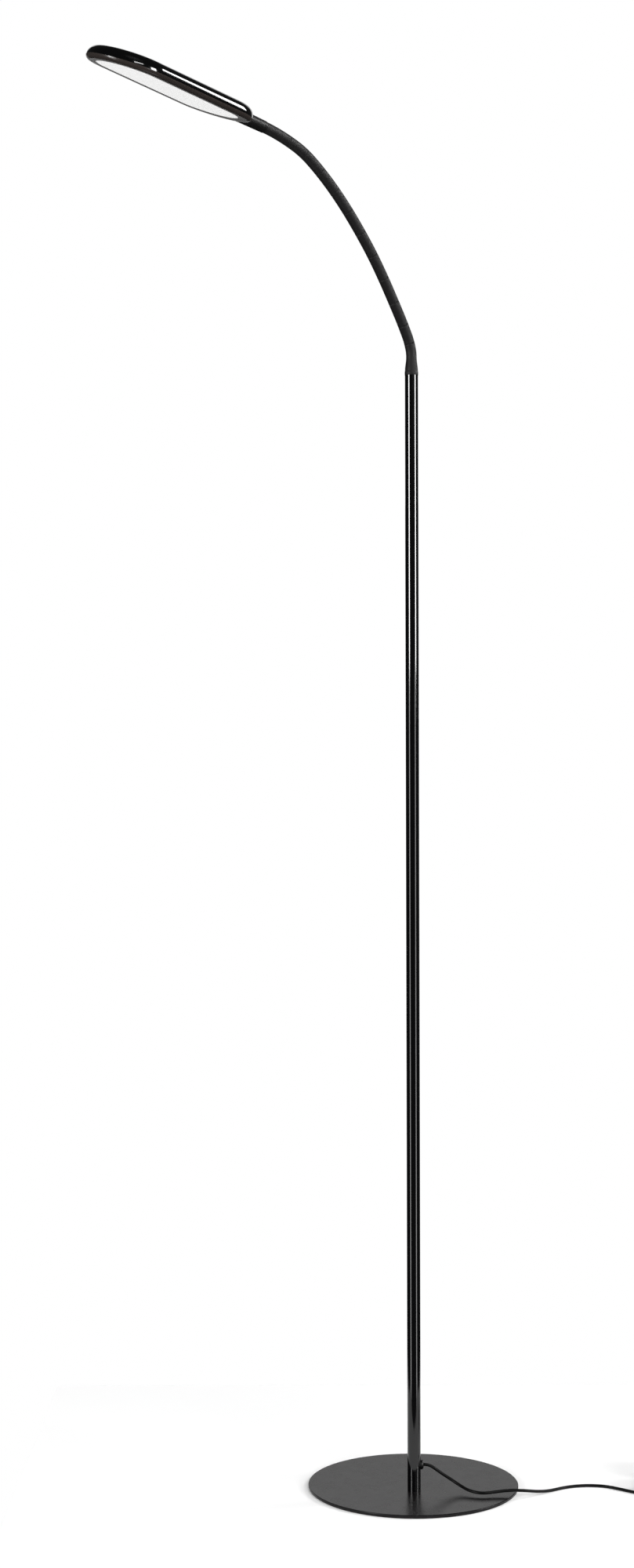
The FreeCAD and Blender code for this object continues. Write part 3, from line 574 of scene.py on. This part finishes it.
def ray_strength(tree, lighting, seen_as):
    """A strength for lighting, and another for the rays that see the background."""
    spread = tree.nodes.new("ShaderNodeMapRange")
    spread.inputs["To Min"].default_value = lighting
    spread.inputs["To Max"].default_value = seen_as
    tree.links.new(background_rays(tree), spread.inputs["Value"])
    return spread.outputs["Result"]


def sheet_material(name, grey, glow):
    """Plain matt surface; the glow is only for the rays that see the background."""
    material = bpy.data.materials.new(name)
    material.use_nodes = True
    tree = material.node_tree
    shader = tree.nodes["Principled BSDF"]
    shader.inputs["Base Color"].default_value = (grey, grey, grey, 1)
    shader.inputs["Roughness"].default_value = 0.9
    shader.inputs["Specular IOR Level"].default_value = 0.0
    shader.inputs["Emission Color"].default_value = (1, 1, 1, 1)
    tree.links.new(ray_strength(tree, 0.0, glow), shader.inputs["Emission Strength"])
    return material


def make_floor():
    mesh = bmesh.new()
    corners = [(-FLOOR_REACH, -FLOOR_FRONT, 0), (FLOOR_REACH, -FLOOR_FRONT, 0),
               (FLOOR_REACH, FLOOR_REACH, 0), (-FLOOR_REACH, FLOOR_REACH, 0)]
    mesh.faces.new([mesh.verts.new(corner) for corner in corners])
    mesh_object("floor", mesh, sheet_material("floor_white", FLOOR_GREY, FLOOR_GLOW), smooth=False)


def make_dark_tent():
    """Dark tent round the set, open behind the lamp: only mirror-like rays see it."""
    mesh = bmesh.new()
    turns = [2 * math.pi * column / TENT_COLUMNS for column in range(TENT_COLUMNS)]
    ring = []
    for row in range(TENT_ROWS + 1):
        up = math.radians(180 * row / TENT_ROWS - 90)
        flat = TENT_RADIUS * math.cos(up)
        height = TENT_RADIUS * math.sin(up)
        ring.append([mesh.verts.new((flat * math.sin(turn), flat * math.cos(turn), height))
                     for turn in turns])
    for row in range(TENT_ROWS):
        for column in range(TENT_COLUMNS):
            turn = (column + 0.5) * 360 / TENT_COLUMNS
            up = (row + 0.5) * 180 / TENT_ROWS - 90
            if min(turn, 360 - turn) < TENT_OPENING and TENT_SILL < up < TENT_LINTEL:
                continue
            beside = (column + 1) % TENT_COLUMNS
            mesh.faces.new((ring[row][column], ring[row][beside],
                            ring[row + 1][beside], ring[row + 1][column]))
    tent = mesh_object("dark_tent", mesh, sheet_material("tent_black", 0.0, TENT_GLOW), smooth=False)
    tent.visible_camera = False
    tent.visible_diffuse = False
    tent.visible_shadow = False
    tent.visible_transmission = False


def make_world():
    world = bpy.data.worlds.new("studio")
    world.use_nodes = True
    background = world.node_tree.nodes["Background"]
    background.inputs["Color"].default_value = (1, 1, 1, 1)
    world.node_tree.links.new(ray_strength(world.node_tree, WORLD_LIGHT, 1.0), background.inputs["Strength"])
    bpy.context.scene.world = world


def aim(lamp, direction):
    lamp.rotation_mode = "QUATERNION"
    lamp.rotation_quaternion = Vector(direction).to_track_quat("-Z", "Y")
    bpy.context.scene.collection.objects.link(lamp)


def soft_box(name, turn, height, width, tall, radiance):
    """Upright soft box, turned from the camera's side to the right by so many degrees."""
    light = bpy.data.lights.new(name, "AREA")
    light.shape = "RECTANGLE"
    light.size = width
    light.size_y = tall
    light.energy = radiance * math.pi * width * tall
    lamp = bpy.data.objects.new(name, light)
    angle = math.radians(turn)
    lamp.location = (BOX_DISTANCE * math.sin(angle), -BOX_DISTANCE * math.cos(angle), height)
    aim(lamp, (-lamp.location.x, -lamp.location.y, 0))


def overhead():
    """Far, wide light that reaches the floor and the head alike."""
    light = bpy.data.lights.new("overhead", "SUN")
    light.energy = OVERHEAD_LEVEL
    light.angle = math.radians(OVERHEAD_SPREAD)
    aim(bpy.data.objects.new("overhead", light), OVERHEAD_DIRECTION)


def make_lights():
    for box in SOFT_BOXES:
        soft_box(*box)
    overhead()


def main():
    bpy.context.scene.view_settings.view_transform = "Standard"
    materials = {slot: make() for slot, make in MAKERS.items()}
    make_camera()
    make_floor()
    make_dark_tent()
    make_world()
    make_lights()
    paint_nodes(materials)
    make_sleeve(NeckLine(), materials["sleeve_rubber"])
    make_cord(materials["cord_pvc"])


main()
